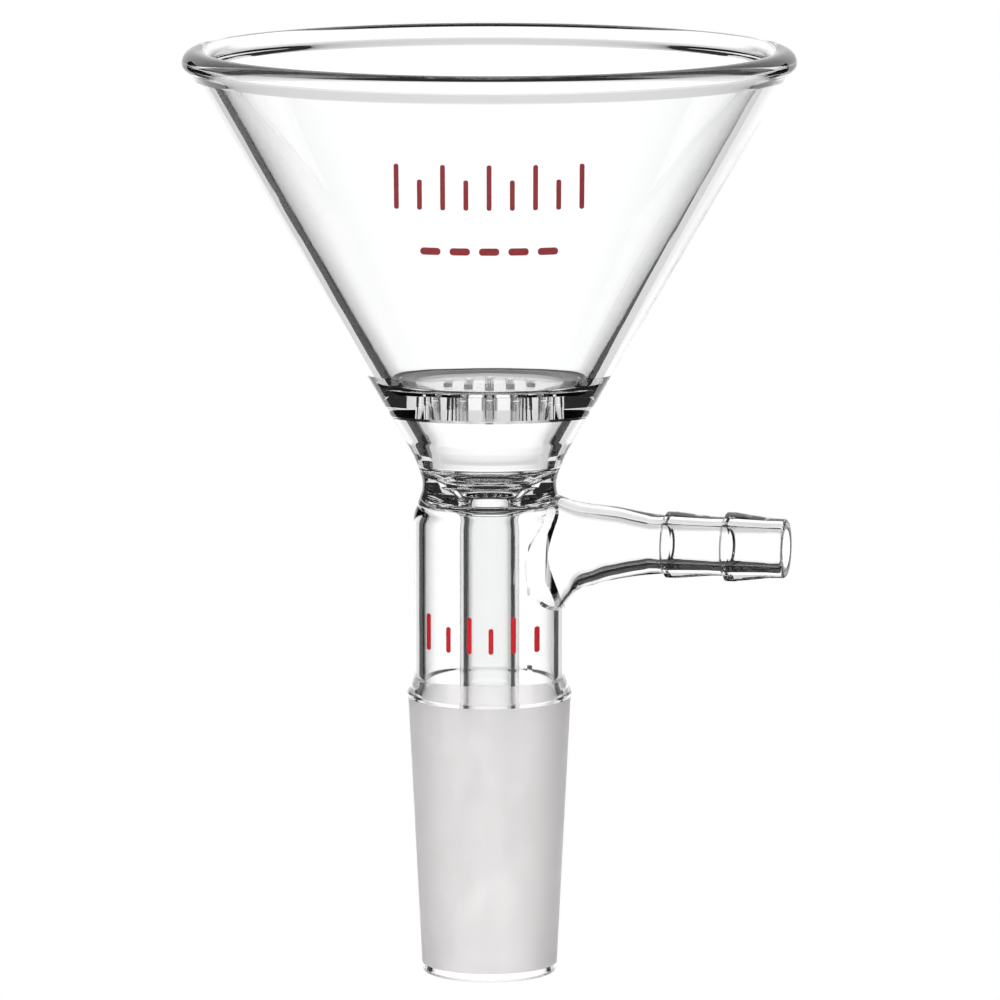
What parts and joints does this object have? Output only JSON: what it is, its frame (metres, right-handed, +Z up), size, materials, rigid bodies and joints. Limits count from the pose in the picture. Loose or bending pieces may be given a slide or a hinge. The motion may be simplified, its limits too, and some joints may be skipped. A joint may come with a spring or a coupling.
{
  "type": "buchner funnel",
  "caption": "Conical glass filter funnel with a fused perforated plate, a vacuum side arm with a hose barb, a drip tube and a tapered ground joint.",
  "frame": {"origin": "centre of the ground joint's lower end, on the funnel's axis", "axes": "+Z up the funnel's axis towards the rim, +X along the vacuum side arm"},
  "size_m": [0.09, 0.09, 0.1372],
  "materials": {
    "clear_glass": "clear, fire-polished borosilicate glass",
    "ground_glass": "fine-ground frosted glass, clear at the tip",
    "red_enamel": "fired red enamel, satin"
  },
  "bodies": {
    "root": {"ground_joint": "ground_glass", "body_tube": "clear_glass", "drip_tube": "clear_glass", "bowl_cone": "clear_glass", "rim_bead": "clear_glass", "perforated_plate": "clear_glass", "side_arm": "clear_glass", "hose_barb": "clear_glass", "bowl_mark": "red_enamel", "joint_mark": "red_enamel"}
  },
  "joints": []
}
